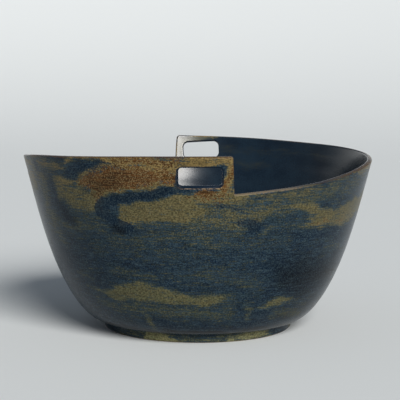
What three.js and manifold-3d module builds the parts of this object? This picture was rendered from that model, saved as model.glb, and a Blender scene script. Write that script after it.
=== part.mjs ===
// Thrown stoneware bowl with a cut rim.
// The wall is thin and flares slightly. The rim falls in two half turns, like a two-start
// spiral, and each half turn ends in an upright step back up to the start of the other.
// Beside the high side of each step, a small rounded slot goes through the wall.
// A trimmed foot ring carries the bowl.
// Millimetres, +Z up, origin on the bowl's axis at the level it stands on.
// Azimuth is measured from -Y (the front) towards +X.

import * as THREE from 'three';
import { mergeVertices } from 'three/addons/utils/BufferGeometryUtils.js';
import Module from 'manifold-3d';

// ---- named sizes ----------------------------------------------------------------------

const COLUMNS = 96;            // facets round the bowl

// foot ring
const FOOT_OUTER = 55.0;       // outer radius
const FOOT_WIDTH = 4.0;        // width of the flat that stands on the table
const FOOT_BEVEL = 0.7;        // broken edges of the ring
const FOOT_DRAFT = 0.5;        // how far the ring's sides slope
const RECESS_HEIGHT = 4.2;     // hollow under the floor
const RECESS_FILLET = 2.2;     // where the hollow meets the ring

// outside of the wall: one smooth curve from the foot to the rim, pulled by these handles
const WALL_FOOT = [57.62, 5.38];
const WALL_BELLY_OUT = [70.35, 5.38];
const WALL_BELLY_UP = [87.88, 37.78];
const WALL_MIDDLE = [92.53, 66.43];
const WALL_TOP = [103.24, 107.3];

// thickness, measured square to the wall
const WALL_RIM = 2.85;
const WALL_BELLY = 4.2;

// floor
const FLOOR_CENTRE = 8.6;      // height of the floor's upper side on the axis
const FLOOR_RISE = 0.5;        // how much higher it is where the belly begins

// rim: height of its top along each half turn, from a step's high side to the next step's foot
const RIM_STATIONS = [0, 25, 50, 75, 100, 125, 150, 180];   // degrees round from the step
const RIM_HEIGHTS = [
  [105.9, 105.5, 104.2, 102.8, 100.0, 96.0, 90.4, 85.9],    // left side, from the front step
  [106.7, 105.6, 103.8, 102.4, 100.1, 96.0, 90.4, 85.9],    // right side, from the back step
];
const RIM_ROUND = 1.0;         // how far the rounded lip rises above its shoulders

// steps, where one half turn's low end meets the other's high end
const STEPS = [10.0, 188.2];   // azimuth of each at its top, degrees
const STEP_LEAN = 5.0;         // the cut leans back towards the low side, degrees

// slots, cut by hand, so each is a little different: azimuth of the middle, lower and upper
// edge at the outside of the wall, width, corner radius, and turn in the plane of the wall
const SLOTS = [
  { azimuth: 0.65, low: 89.8, high: 100.5, width: 24.0, corner: 2.2, turn: 0 },
  { azimuth: 178.85, low: 91.0, high: 101.9, width: 23.8, corner: 3.4, turn: -4 },
];
const SLOT_CORNER_FACETS = 4;

// how finely the section is divided
const WALL_ROWS = 9;           // foot to the height of the lowest rim
const UPPER_ROWS = 2;          // from there to the rim
const LIP_FACETS = 5;
const FLOOR_ROWS = 2;

const GLAZE = { color: 0x3a4048, roughness: 0.4, metalness: 0.0 };

// ---- curves ---------------------------------------------------------------------------

const radians = Math.PI / 180;

function wallPoint(t) {
  const handles = [WALL_FOOT, WALL_BELLY_OUT, WALL_BELLY_UP, WALL_MIDDLE, WALL_TOP];
  const weights = [1, 4, 6, 4, 1];
  const point = new THREE.Vector2();
  handles.forEach(([r, z], i) => {
    const w = weights[i] * (1 - t) ** (4 - i) * t ** i;
    point.x += w * r;
    point.y += w * z;
  });
  return point;
}

function wallUp(t) {            // unit vector along the wall, upwards
  const step = 1e-4;
  return wallPoint(t + step).sub(wallPoint(t - step)).normalize();
}

function wallInward(t) {        // unit vector square to the wall, towards the hollow
  const up = wallUp(t);
  return new THREE.Vector2(-up.y, up.x);
}

function wallThickness(t) {
  const low = 1 - THREE.MathUtils.smoothstep(t, 0.0, 0.75);
  return WALL_RIM + (WALL_BELLY - WALL_RIM) * low;
}

function innerPoint(t) {
  return wallPoint(t).addScaledVector(wallInward(t), wallThickness(t));
}

// the wall's parameter at which the given measure reaches a value
function solve(measure, value, low = 0, high = 1) {
  for (let i = 0; i < 60; i++) {
    const middle = (low + high) / 2;
    if (measure(middle) < value) low = middle; else high = middle;
  }
  return (low + high) / 2;
}

// the lip that closes the wall at parameter t: points from its outside to its inside
function lip(t) {
  const points = [];
  const outer = wallPoint(t);
  const inward = wallInward(t);
  const up = wallUp(t);
  for (let i = 0; i <= LIP_FACETS; i++) {
    const angle = Math.PI * i / LIP_FACETS;
    const across = Math.sign(Math.cos(angle)) * Math.abs(Math.cos(angle)) ** 0.7;
    const rise = Math.sin(angle) ** 0.7;
    points.push(outer.clone()
      .addScaledVector(inward, wallThickness(t) * (1 - across) / 2)
      .addScaledVector(up, RIM_ROUND * rise));
  }
  return points;
}

const lipTop = t => Math.max(...lip(t).map(p => p.y));

// smooth curve through one half turn's rim heights; turn runs from 0 to 1 along it
function rimHeight(half, turn) {
  const at = RIM_STATIONS;
  const height = RIM_HEIGHTS[half];
  const last = at.length - 1;
  const angle = turn * 180;
  let k = 0;
  while (k < last - 1 && angle > at[k + 1]) k++;
  const slope = i => {
    const before = Math.max(i - 1, 0);
    const after = Math.min(i + 1, last);
    return (height[after] - height[before]) / (at[after] - at[before]);
  };
  const span = at[k + 1] - at[k];
  const s = (angle - at[k]) / span;
  return height[k] * (1 + 2 * s) * (1 - s) ** 2 + slope(k) * span * s * (1 - s) ** 2
    + height[k + 1] * s * s * (3 - 2 * s) + slope(k + 1) * span * s * s * (s - 1);
}

const RIM_BOTTOM = Math.min(...RIM_HEIGHTS.flat());

// ---- the section ----------------------------------------------------------------------

// underside, from the axis out to the foot of the wall (the axis point is added later)
function footSection() {
  const points = [];
  const ringInner = FOOT_OUTER - FOOT_WIDTH - 2 * FOOT_BEVEL;
  points.push(new THREE.Vector2(ringInner * 0.5, RECESS_HEIGHT));
  for (let i = 0; i <= 2; i++) {
    const angle = (Math.PI / 2) * i / 2;
    points.push(new THREE.Vector2(
      ringInner - FOOT_DRAFT - RECESS_FILLET * (1 - Math.sin(angle)),
      RECESS_HEIGHT - RECESS_FILLET * (1 - Math.cos(angle))));
  }
  points.push(new THREE.Vector2(ringInner, FOOT_BEVEL));
  points.push(new THREE.Vector2(ringInner + FOOT_BEVEL, 0));
  points.push(new THREE.Vector2(FOOT_OUTER - FOOT_BEVEL, 0));
  points.push(new THREE.Vector2(FOOT_OUTER, FOOT_BEVEL));
  points.push(new THREE.Vector2(FOOT_OUTER + FOOT_DRAFT, WALL_FOOT[1] - 1.0));
  return points;
}

const wallLow = solve(lipTop, RIM_BOTTOM);   // where the lip starts at the rim's lowest place
const wallSteps = Array.from({ length: WALL_ROWS + 1 }, (_, i) => wallLow * i / WALL_ROWS);

// inside, from the lowest rim level down to the axis
function floorSection() {
  const points = [];
  const edge = floorEdge;
  for (let i = 1; i <= FLOOR_ROWS; i++) {
    const s = 1 - i / (FLOOR_ROWS + 1);
    points.push(new THREE.Vector2(edge * s, FLOOR_CENTRE + FLOOR_RISE * s * s));
  }
  return points;
}

// the inner wall stops where it comes down to the floor
const innerStart = solve(t => innerPoint(t).y, FLOOR_CENTRE + FLOOR_RISE + 0.3, 0.0, 0.5);
const floorEdge = innerPoint(innerStart).x - 3.0;

// one column of the section for a lip that starts at parameter t
function column(t) {
  const points = [...footSection()];
  wallSteps.forEach(u => points.push(wallPoint(u)));
  for (let i = 1; i <= UPPER_ROWS; i++) points.push(wallPoint(wallLow + (t - wallLow) * i / UPPER_ROWS));
  points.push(...lip(t).slice(1));
  for (let i = UPPER_ROWS - 1; i >= 0; i--) points.push(innerPoint(wallLow + (t - wallLow) * i / UPPER_ROWS));
  for (let i = WALL_ROWS - 1; i >= 0; i--) points.push(innerPoint(innerStart + (wallLow - innerStart) * i / WALL_ROWS));
  points.push(new THREE.Vector2(floorEdge, FLOOR_CENTRE + FLOOR_RISE));
  points.push(...floorSection());
  return points;
}

// the step's cut is one flat plane, so its azimuth shifts with height
function stepShift(step, r, z) {
  const drop = RIM_HEIGHTS[step][0] - Math.max(z, RIM_BOTTOM - RIM_ROUND);
  return Math.asin(drop * Math.tan(STEP_LEAN * radians) / Math.max(r, 90));
}

function place(p, azimuth) {
  return new THREE.Vector3(p.x * Math.sin(azimuth), -p.x * Math.cos(azimuth), p.y);
}

// ---- the body -------------------------------------------------------------------------

function bodyGeometry() {
  const positions = [];
  const triangle = (a, b, c) => { for (const p of [a, b, c]) positions.push(p.x, p.y, p.z); };
  const under = new THREE.Vector3(0, 0, RECESS_HEIGHT);
  const over = new THREE.Vector3(0, 0, FLOOR_CENTRE);
  const perHalf = COLUMNS / 2;

  STEPS.forEach((start, half) => {
    const next = STEPS[1 - half] - (half === 0 ? 360 : 0);
    const columns = [];
    for (let j = 0; j <= perHalf; j++) {
      const turn = j / perHalf;
      const azimuth = (start + (next - start) * turn) * radians;
      const points = column(j === perHalf ? wallLow : solve(lipTop, rimHeight(half, turn)));
      const shift = p => {
        if (j === 0) return stepShift(half, p.x, p.y);
        if (j === perHalf) return stepShift(1 - half, p.x, p.y);
        return 0;
      };
      columns.push(points.map(p => place(p, azimuth + shift(p))));
    }
    for (let j = 0; j < perHalf; j++) {
      const a = columns[j];
      const b = columns[j + 1];
      const rows = a.length;
      triangle(under, a[0], b[0]);
      for (let i = 0; i < rows - 1; i++) {
        triangle(a[i], a[i + 1], b[i + 1]);
        triangle(a[i], b[i + 1], b[i]);
      }
      triangle(a[rows - 1], over, b[rows - 1]);
    }

    // the upright face of the step: between the tall column's section and the low lip
    const first = footSection().length + WALL_ROWS;
    const last = first + 2 * UPPER_ROWS + LIP_FACETS;
    const tallSection = column(solve(lipTop, rimHeight(half, 0))).slice(first, last + 1);
    const lowLip = lip(wallLow).slice(1, -1).reverse();
    const outline = [...tallSection, ...lowLip];
    const azimuth = start * radians;
    const corners = outline.map(p => place(p, azimuth + stepShift(half, p.x, p.y)));
    for (const [i, j, k] of THREE.ShapeUtils.triangulateShape(outline, [])) {
      triangle(corners[i], corners[k], corners[j]);
    }
  });

  const geometry = new THREE.BufferGeometry();
  geometry.setAttribute('position', new THREE.Float32BufferAttribute(positions, 3));
  return geometry;
}

// a bar with rounded corners, pushed through the wall square to its outside
function slotGeometry({ azimuth: centre, low, high, width, corner, turn }) {
  const middle = (low + high) / 2;
  const t = solve(u => wallPoint(u).y, middle);
  const lean = Math.atan2(wallUp(t).x, wallUp(t).y);
  const w = width / 2;
  const h = (high - low) / Math.cos(lean) / 2;
  const c = corner;
  const shape = new THREE.Shape();
  shape.moveTo(-w + c, -h);
  shape.lineTo(w - c, -h);
  shape.absarc(w - c, -h + c, c, -Math.PI / 2, 0);
  shape.lineTo(w, h - c);
  shape.absarc(w - c, h - c, c, 0, Math.PI / 2);
  shape.lineTo(-w + c, h);
  shape.absarc(-w + c, h - c, c, Math.PI / 2, Math.PI);
  shape.lineTo(-w, -h + c);
  shape.absarc(-w + c, -h + c, c, Math.PI, 3 * Math.PI / 2);
  const depth = 16;
  const geometry = new THREE.ExtrudeGeometry(shape, { depth, bevelEnabled: false, curveSegments: SLOT_CORNER_FACETS });
  geometry.translate(0, 0, -depth / 2);
  geometry.rotateZ(turn * radians);
  // local X goes round the bowl, local Y up the wall, local Z square to it
  const azimuth = centre * radians;
  const around = new THREE.Vector3(Math.cos(azimuth), Math.sin(azimuth), 0);
  const radial = new THREE.Vector3(Math.sin(azimuth), -Math.cos(azimuth), 0);
  const up = radial.clone().multiplyScalar(Math.sin(lean)).add(new THREE.Vector3(0, 0, Math.cos(lean)));
  const out = new THREE.Vector3().crossVectors(around, up);
  const where = radial.clone().multiplyScalar(wallPoint(t).x).add(new THREE.Vector3(0, 0, middle));
  geometry.applyMatrix4(new THREE.Matrix4().makeBasis(around, up, out).setPosition(where));
  return geometry;
}

// ---- joining and cutting --------------------------------------------------------------

const wasm = await Module();
wasm.setup();

function toSolid(geometry) {
  const bare = geometry.index ? geometry.toNonIndexed() : geometry.clone();
  bare.deleteAttribute('normal');
  bare.deleteAttribute('uv');
  const merged = mergeVertices(bare, 1e-4);
  const index = Array.from(merged.index.array);
  const kept = [];
  for (let i = 0; i < index.length; i += 3) {
    const [a, b, c] = index.slice(i, i + 3);
    if (a !== b && b !== c && c !== a) kept.push(a, b, c);
  }
  return new wasm.Manifold(new wasm.Mesh({
    numProp: 3,
    vertProperties: new Float32Array(merged.attributes.position.array),
    triVerts: new Uint32Array(kept),
  }));
}

function toGeometry(solid) {
  const mesh = solid.getMesh();
  const geometry = new THREE.BufferGeometry();
  geometry.setAttribute('position', new THREE.BufferAttribute(new Float32Array(mesh.vertProperties), 3));
  geometry.setIndex(new THREE.BufferAttribute(new Uint32Array(mesh.triVerts), 1));
  geometry.computeVertexNormals();
  return geometry;
}

let body = toSolid(bodyGeometry());
for (const slot of SLOTS) body = body.subtract(toSolid(slotGeometry(slot)));

const bowl = new THREE.Mesh(toGeometry(body), new THREE.MeshStandardMaterial(GLAZE));
bowl.name = 'bowl';

const group = new THREE.Group();
group.add(bowl);

export default group;
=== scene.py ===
"""A thin-walled thrown bowl with a stepped spiral rim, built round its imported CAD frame."""

import math

import bpy
import numpy as np
from mathutils import Matrix, Vector
from mathutils.geometry import delaunay_2d_cdt


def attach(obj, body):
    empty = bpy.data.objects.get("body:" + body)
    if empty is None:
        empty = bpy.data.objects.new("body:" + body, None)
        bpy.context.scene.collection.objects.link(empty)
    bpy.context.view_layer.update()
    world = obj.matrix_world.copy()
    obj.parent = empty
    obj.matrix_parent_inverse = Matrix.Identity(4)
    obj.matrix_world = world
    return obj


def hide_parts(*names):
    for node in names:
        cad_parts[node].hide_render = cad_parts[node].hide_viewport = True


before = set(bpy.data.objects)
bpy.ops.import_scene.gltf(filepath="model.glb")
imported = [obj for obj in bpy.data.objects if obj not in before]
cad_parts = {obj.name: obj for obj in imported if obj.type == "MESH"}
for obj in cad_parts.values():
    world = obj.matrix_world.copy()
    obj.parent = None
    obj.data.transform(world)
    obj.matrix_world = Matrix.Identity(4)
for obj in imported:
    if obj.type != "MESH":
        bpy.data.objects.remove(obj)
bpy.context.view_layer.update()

MM = 0.001
DEG = math.pi / 180

# ---- sizes, in millimetres, as in the CAD part ------------------------------------------

FOOT_OUTER, FOOT_WIDTH, FOOT_BEVEL, FOOT_DRAFT = 55.0, 4.0, 0.7, 0.5
RECESS_HEIGHT, RECESS_FILLET = 4.2, 2.2
WALL = np.array([[57.62, 5.38], [70.35, 5.38], [87.88, 37.78], [92.53, 66.43], [103.24, 107.3]])
WALL_RIM, WALL_BELLY = 2.85, 4.2
FLOOR_CENTRE, FLOOR_RISE = 8.6, 0.5
RIM_STATIONS = np.array([0, 25, 50, 75, 100, 125, 150, 180.0])
RIM_HEIGHTS = np.array([[105.9, 105.5, 104.2, 102.8, 100.0, 96.0, 90.4, 85.9],
                        [106.7, 105.6, 103.8, 102.4, 100.1, 96.0, 90.4, 85.9]])
RIM_ROUND = 1.0
STEPS = (10.0, 188.2)
STEP_LEAN = 5.0
# the glaze rounds the cut edges, so these are a little smaller than the CAD's square-edged slots
SLOTS = (dict(azimuth=0.60, low=90.25, high=99.8, width=22.3, corner=1.9, turn=0.0),
         dict(azimuth=178.95, low=91.3, high=101.9, width=23.2, corner=3.4, turn=-2.6))

# sizes of the fine surface only
COLUMNS = 448          # round the bowl
SPLIT_HEIGHT = 80.0    # above it the sheet is cut by the rim, the steps and the slots
ACROSS = 100.0         # radius at which the sheet is laid flat
INSET = 0.07           # the glazed surface lies this far inside the CAD's corners
SEAM = -90.0           # azimuth where the flat sheet is joined
INSIDE_SEED, RING_PROUD = 2.0, 0.26


def smoothstep(x, low, high):
    s = np.clip((np.asarray(x, float) - low) / (high - low), 0, 1)
    return s * s * (3 - 2 * s)


# ---- the section of the wall --------------------------------------------------------------

BINOMIAL = np.array([1, 4, 6, 4, 1.0])


def wall_point(t):
    t = np.atleast_1d(np.asarray(t, float))
    k = np.arange(5)
    w = BINOMIAL * (1 - t[:, None]) ** (4 - k) * t[:, None] ** k
    return w @ WALL


def wall_up(t):
    d = wall_point(np.asarray(t) + 1e-4) - wall_point(np.asarray(t) - 1e-4)
    return d / np.linalg.norm(d, axis=1, keepdims=True)


def wall_inward(t):
    up = wall_up(t)
    return np.stack([-up[:, 1], up[:, 0]], 1)


def wall_thickness(t):
    return WALL_RIM + (WALL_BELLY - WALL_RIM) * (1 - smoothstep(t, 0.0, 0.75))


def inner_point(t):
    return wall_point(t) + wall_inward(t) * wall_thickness(t)[:, None]


# tables that turn heights and lengths along the wall into the wall's parameter
TABLE_T = np.linspace(0, 1.02, 4001)
TABLE_P = wall_point(TABLE_T)
TABLE_S = np.concatenate([[0], np.cumsum(np.linalg.norm(np.diff(TABLE_P, axis=0), axis=1))])
T_SPLIT = float(np.interp(SPLIT_HEIGHT, TABLE_P[:, 1], TABLE_T))
S_SPLIT = float(np.interp(T_SPLIT, TABLE_T, TABLE_S))


def t_at_length(s):            # s is measured from the split
    return np.interp(np.asarray(s, float) + S_SPLIT, TABLE_S, TABLE_T)


def length_at(t):
    return np.interp(t, TABLE_T, TABLE_S) - S_SPLIT


# height of the lip's top for a lip that starts at t, as the CAD measures it
ANGLES = np.pi * np.arange(6) / 5
LIP_ACROSS = np.sign(np.cos(ANGLES)) * np.abs(np.cos(ANGLES)) ** 0.7
LIP_RISE = np.clip(np.sin(ANGLES), 0, 1) ** 0.7


def lip_top(t):
    outer, inward, up, thick = wall_point(t), wall_inward(t), wall_up(t), wall_thickness(t)
    z = (outer[:, 1:] + inward[:, 1:] * thick[:, None] * (1 - LIP_ACROSS) / 2
         + up[:, 1:] * RIM_ROUND * LIP_RISE)
    return z.max(1)


TABLE_TOP = lip_top(TABLE_T)


def rim_height(half, turn):
    at, h = RIM_STATIONS, RIM_HEIGHTS[half]
    slope = np.array([(h[min(i + 1, 7)] - h[max(i - 1, 0)]) / (at[min(i + 1, 7)] - at[max(i - 1, 0)])
                      for i in range(8)])
    angle = np.clip(np.asarray(turn, float), 0, 1) * 180
    k = np.clip(np.searchsorted(at, angle, side="left") - 1, 0, 6)
    span = at[k + 1] - at[k]
    s = (angle - at[k]) / span
    return (h[k] * (1 + 2 * s) * (1 - s) ** 2 + slope[k] * span * s * (1 - s) ** 2
            + h[k + 1] * s * s * (3 - 2 * s) + slope[k + 1] * span * s * s * (s - 1))


def rim_length(azimuth):
    """Length along the wall, from the split, at which the rim ends, for azimuths from SEAM to SEAM + 360."""
    a = np.asarray(azimuth, float)
    half0_span = STEPS[0] - (STEPS[1] - 360)
    half1_span = STEPS[1] - STEPS[0]
    turn0 = (STEPS[0] - np.where(a > STEPS[0] + 1e-9, a - 360, a)) / half0_span
    turn1 = (STEPS[1] - a) / half1_span
    height = np.where((a > STEPS[0]) & (a <= STEPS[1]), rim_height(1, turn1), rim_height(0, turn0))
    t = np.interp(height, TABLE_TOP, TABLE_T)
    return length_at(t) + RIM_ROUND


# ---- the flat sheet: the wall above the split, laid out as azimuth by length ---------------

RIM_LOW = float(RIM_HEIGHTS.min())


def step_x(step, s):
    """Where the step's cut stands on the sheet at length s."""
    p = wall_point(t_at_length(s))
    drop = RIM_HEIGHTS[step][0] - np.maximum(p[:, 1], RIM_LOW - RIM_ROUND)
    shift = np.arcsin(drop * math.tan(STEP_LEAN * DEG) / np.maximum(p[:, 0], 90))
    return (STEPS[step] * DEG + shift) * ACROSS


def fillet(points, corner, size, n=7):
    """Rounds one corner of a polyline that has many points."""
    p = np.asarray(points)
    before = np.concatenate([[0], np.cumsum(np.linalg.norm(np.diff(p, axis=0), axis=1))])
    at = before[corner]
    a, b = at - size, at + size
    start = np.array([np.interp(a, before, p[:, i]) for i in (0, 1)])
    end = np.array([np.interp(b, before, p[:, i]) for i in (0, 1)])
    u = np.linspace(0, 1, n)[:, None]
    curve = (1 - u) ** 2 * start + 2 * u * (1 - u) * p[corner] + u * u * end
    return np.concatenate([p[before < a - 1e-6], curve, p[before > b + 1e-6]])


def spread(p, gap):
    """The same polyline with points about gap apart, closer where it bends."""
    d = np.linalg.norm(np.diff(p, axis=0), axis=1)
    along = np.concatenate([[0], np.cumsum(d)])
    fine = np.linspace(0, along[-1], int(along[-1] / 0.05) + 2)
    q = np.stack([np.interp(fine, along, p[:, i]) for i in (0, 1)], 1)
    v = np.gradient(q, axis=0)
    v /= np.linalg.norm(v, axis=1, keepdims=True)
    bend = np.linalg.norm(np.gradient(v, axis=0), axis=1) / np.gradient(fine)
    bend = np.convolve(np.pad(bend, 6, mode="edge"), np.ones(13) / 13, mode="valid")
    want = np.cumsum(np.gradient(fine) / np.minimum(gap, 0.22 / np.maximum(bend, 1e-6)).clip(0.16, gap))
    want -= want[0]
    n = int(round(want[-1]))
    at = np.interp(np.linspace(0, want[-1], n + 1), want, fine)
    return np.stack([np.interp(at, along, p[:, i]) for i in (0, 1)], 1)


def rim_outline():
    parts = []
    edges = [SEAM, STEPS[0], STEPS[1], SEAM + 360]
    for k in range(3):
        a = np.linspace(edges[k], edges[k + 1], int((edges[k + 1] - edges[k]) * 6) + 2)
        if k:    # the low rim begins where the step's cut reaches it
            low_s = float(rim_length(edges[k] + 1e-4))
            start = float(step_x(k - 1, low_s)[0]) / ACROSS / DEG
            a = np.linspace(start, edges[k + 1], len(a))
        s = rim_length(np.where(a == edges[k], a + 1e-6, a) if k else a)
        p = np.stack([a * DEG * ACROSS, s], 1)
        if k < 2:
            s_top = s[-1]
            s_down = np.linspace(s_top, float(rim_length(edges[k + 1] + 1e-4)), 60)
            cut = np.stack([step_x(k, s_down), s_down], 1)
            cut[:, 0] += p[-1, 0] - cut[0, 0]
            p = np.concatenate([p, cut[1:-1]])
        parts.append(p)
    line = np.concatenate(parts)
    # a high corner and a low corner at each step
    for k in range(2):
        high = int(np.argmin(np.abs(line[:, 0] - STEPS[k] * DEG * ACROSS) - 1e-3 * line[:, 1]))
        line = fillet(line, high, (1.25, 2.3)[k], 9)
        near = np.abs(line[:, 0] - STEPS[k] * DEG * ACROSS) < 6
        # the low corner is where the cut stops falling
        idx = np.nonzero(near)[0]
        low = int(idx[np.argmin(line[idx, 1])])
        line = fillet(line, low, 0.55, 7)
    return spread(line, 1.1)


def slot_outline(azimuth, low, high, width, corner, turn):
    middle = (low + high) / 2
    t = float(np.interp(middle, TABLE_P[:, 1], TABLE_T))
    up = wall_up(t)[0]
    lean = math.atan2(up[0], up[1])
    w, h, c = width / 2, (high - low) / math.cos(lean) / 2, corner
    pts = []
    for cx, cy, a0 in ((w - c, -h + c, -90), (w - c, h - c, 0), (-w + c, h - c, 90), (-w + c, -h + c, 180)):
        for a in np.linspace(a0, a0 + 90, 13):
            pts.append((cx + c * math.cos(a * DEG), cy + c * math.sin(a * DEG)))
    pts.append(pts[0])
    pts = np.array(pts)
    # hand-cut: the long edges bow a little
    pts[:, 1] += 0.10 * np.sin(pts[:, 0] * 0.23 + azimuth)
    turn *= DEG
    pts = pts @ np.array([[math.cos(turn), math.sin(turn)], [-math.sin(turn), math.cos(turn)]])
    a = azimuth * DEG
    around = np.array([math.cos(a), math.sin(a), 0])
    radial = np.array([math.sin(a), -math.cos(a), 0])
    up3 = radial * math.sin(lean) + np.array([0, 0, math.cos(lean)])
    out = np.cross(around, up3)
    centre = radial * wall_point(t)[0, 0] + np.array([0, 0, middle])
    found = []
    for p, q in pts:
        base = centre + around * p + up3 * q
        lo, hi = -6.0, 3.0     # how far along the cut the outside of the wall is
        for _ in range(40):
            mid = (lo + hi) / 2
            x = base + out * mid
            r = math.hypot(x[0], x[1])
            if r < np.interp(x[2], TABLE_P[:, 1], TABLE_P[:, 0]):
                lo = mid
            else:
                hi = mid
        x = base + out * lo
        theta = math.atan2(x[0], -x[1])
        if theta < SEAM * DEG:
            theta += 2 * math.pi
        found.append((theta * ACROSS, float(length_at(np.interp(x[2], TABLE_P[:, 1], TABLE_T)))))
    return spread(np.array(found), 1.1)


def inward_normals(p, closed, material_left):
    if closed:
        q = p[:-1]
        d = np.roll(q, -1, axis=0) - np.roll(q, 1, axis=0)
    else:
        d = np.gradient(p, axis=0)
    d /= np.linalg.norm(d, axis=1, keepdims=True)
    n = np.stack([-d[:, 1], d[:, 0]], 1)
    return n if material_left else -n


def inside_polygon(points, poly):
    x, y = points[:, 0], points[:, 1]
    found = np.zeros(len(points), bool)
    for (x0, y0), (x1, y1) in zip(poly, np.roll(poly, -1, axis=0)):
        if y0 == y1:
            continue
        hit = (y0 > y) != (y1 > y)
        found ^= hit & (x < (x1 - x0) * (y - y0) / (y1 - y0) + x0)
    return found


def distance_to(points, lines):
    best = np.full(len(points), 1e9)
    for line in lines:
        a, b = line[:-1], line[1:]
        ab = b - a
        n2 = (ab ** 2).sum(1)
        for i in range(0, len(points), 2000):
            p = points[i:i + 2000, None, :]
            u = np.clip(((p - a) * ab).sum(2) / n2, 0, 1)
            d = np.linalg.norm(p - (a + u[:, :, None] * ab), axis=2).min(1)
            best[i:i + 2000] = np.minimum(best[i:i + 2000], d)
    return best


# where the rings that round every cut edge lie, as distances from it
RING_ANGLES = np.array([17, 34, 50, 65, 79, 90.0]) * DEG
RINGS = list(RIM_ROUND * (1 - np.cos(RING_ANGLES) ** 0.7)) + [1.75]
RINGS[5] = RIM_ROUND


def half_thickness(d):
    """Share of the full half thickness at distance d from a cut edge."""
    p = 2 / 0.7
    return (1 - (1 - np.clip(d / RIM_ROUND, 0, 1)) ** p) ** (1 / p)


def build_sheet():
    rim = rim_outline()
    slots = [slot_outline(**s) for s in SLOTS]
    x_left, x_right = SEAM * DEG * ACROSS, (SEAM + 360) * DEG * ACROSS
    rim[0, 0], rim[-1, 0] = x_left, x_right
    rim[-1, 1] = rim[0, 1]
    points, dist, edges = [], [], []

    def add(ps, d, join=False, closed=False):
        first = len(points)
        points.extend(map(tuple, ps))
        dist.extend(d)
        if join:
            edges.extend((first + i, first + i + 1) for i in range(len(ps) - 1))
            if closed:
                edges.append((first + len(ps) - 1, first))
        return first

    add(rim, [0.0] * len(rim), join=True)
    for s in slots:
        add(s[:-1], [0.0] * (len(s) - 1), join=True, closed=True)
    all_lines = [rim] + slots
    rim_n = inward_normals(rim, False, False)
    rim_n[0] = rim_n[-1] = (0, -1)
    seam_rows = [float(rim[0, 1])]
    for d in RINGS:
        ring = rim + rim_n * d
        keep = distance_to(ring, all_lines) > d * 0.985 - 1e-6
        keep[0] = keep[-1] = True
        add(ring[keep], [d] * int(keep.sum()))
        seam_rows.append(float(ring[0, 1]))
        for s in slots:
            q = s[:-1]
            ring = q - inward_normals(s, True, True) * d
            keep = distance_to(ring, all_lines) > d * 0.985 - 1e-6
            add(ring[keep], [d] * int(keep.sum()))

    # the regular rows between
    xs = x_left + (x_right - x_left) * np.arange(COLUMNS + 1) / COLUMNS
    top = float(rim[:, 1].max())
    rows = np.arange(1, int(top / 1.4) + 1) * 1.4
    gx, gy = np.meshgrid(xs[1:-1], rows)
    grid = np.stack([gx.ravel(), gy.ravel()], 1)
    outline = np.concatenate([rim, [[x_right, -5.0], [x_left, -5.0]]])
    keep = inside_polygon(grid, outline)
    for s in slots:
        keep &= ~inside_polygon(grid, s[:-1])
    grid = grid[keep]
    d = distance_to(grid, all_lines)
    grid, d = grid[d > 2.45], d[d > 2.45]
    add(grid, d)
    # bottom row and the two sides of the join
    add(np.stack([xs, np.zeros(len(xs))], 1), distance_to(np.stack([xs, np.zeros(len(xs))], 1), all_lines), join=True)
    side = [y for y in rows if y < rim[0, 1] - 2.3]
    for x in (x_left, x_right):
        ys = [0.0] + side + sorted(seam_rows[1:]) + [seam_rows[0]]
        add([(x, y) for y in ys], [max(0.0, seam_rows[0] - y) for y in ys], join=True)

    v, _, f, ov, _, _ = delaunay_2d_cdt([Vector(p) for p in points], edges, [], 0, 1e-5, True)
    v = np.array([tuple(p) for p in v])
    source = np.array([o[0] if len(o) else -1 for o in ov])
    d = np.array([min((dist[i] for i in o), default=-1) for o in ov])
    f = np.array([tuple(t) for t in f if len(t) == 3])
    centre = v[f].mean(1)
    keep = inside_polygon(centre, outline) & (centre[:, 1] > 0)
    for s in slots:
        keep &= ~inside_polygon(centre, s[:-1])
    f = f[keep]
    a, b, c = v[f[:, 0]], v[f[:, 1]], v[f[:, 2]]
    area = np.cross(b - a, c - a)
    f = f[np.abs(area) > 1e-9]
    area = area[np.abs(area) > 1e-9]
    f[area < 0] = f[area < 0][:, [0, 2, 1]]
    if (d < 0).any():
        print("sheet: points made by the triangulation:", int((d < 0).sum()))
        d[d < 0] = distance_to(v[d < 0], all_lines)
    # join the sides: the right side's points become the left side's
    left = {round(float(v[i, 1]), 4): i for i in np.nonzero(np.abs(v[:, 0] - x_left) < 1e-4)[0]}
    swap = np.arange(len(v))
    for i in np.nonzero(np.abs(v[:, 0] - x_right) < 1e-4)[0]:
        swap[i] = left[round(float(v[i, 1]), 4)]
    real_x = v[:, 0].copy()
    return v, d, f, swap, real_x, rim, slots


# ---- the whole surface -----------------------------------------------------------------------

class Surface:
    """Collects the piece's points, its faces, and for each corner a place on the map of its own."""

    def __init__(self):
        self.co, self.data, self.faces, self.uv, self.n = [], [], [], [], 0

    def add(self, azimuth, r, z, inner, edge, along, cut=99.0):
        azimuth, r, z, inner, edge, along, cut = np.broadcast_arrays(
            *map(np.atleast_1d, (azimuth, r, z, inner, edge, along, cut)))
        self.co.append(np.stack([r * np.sin(azimuth), -r * np.cos(azimuth), z], 1))
        self.data.append(np.stack([azimuth, along, inner, edge, cut], 1).astype(float))
        first = self.n
        self.n += len(r)
        return first

    def face(self, tri, island, along, up):
        """tri: indices (n, 3); along, up: each corner's place (n, 3), in mm, on the island's own map."""
        self.faces.append(np.asarray(tri))
        self.uv.append((island, np.asarray(along, float), np.asarray(up, float)))


surface = Surface()
v, d, f, swap, real_x, rim_line, slot_lines = build_sheet()
theta = v[:, 0] / ACROSS
t = t_at_length(v[:, 1])
share = half_thickness(d)
outer, inward, thick = wall_point(t), wall_inward(t), wall_thickness(t)


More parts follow.
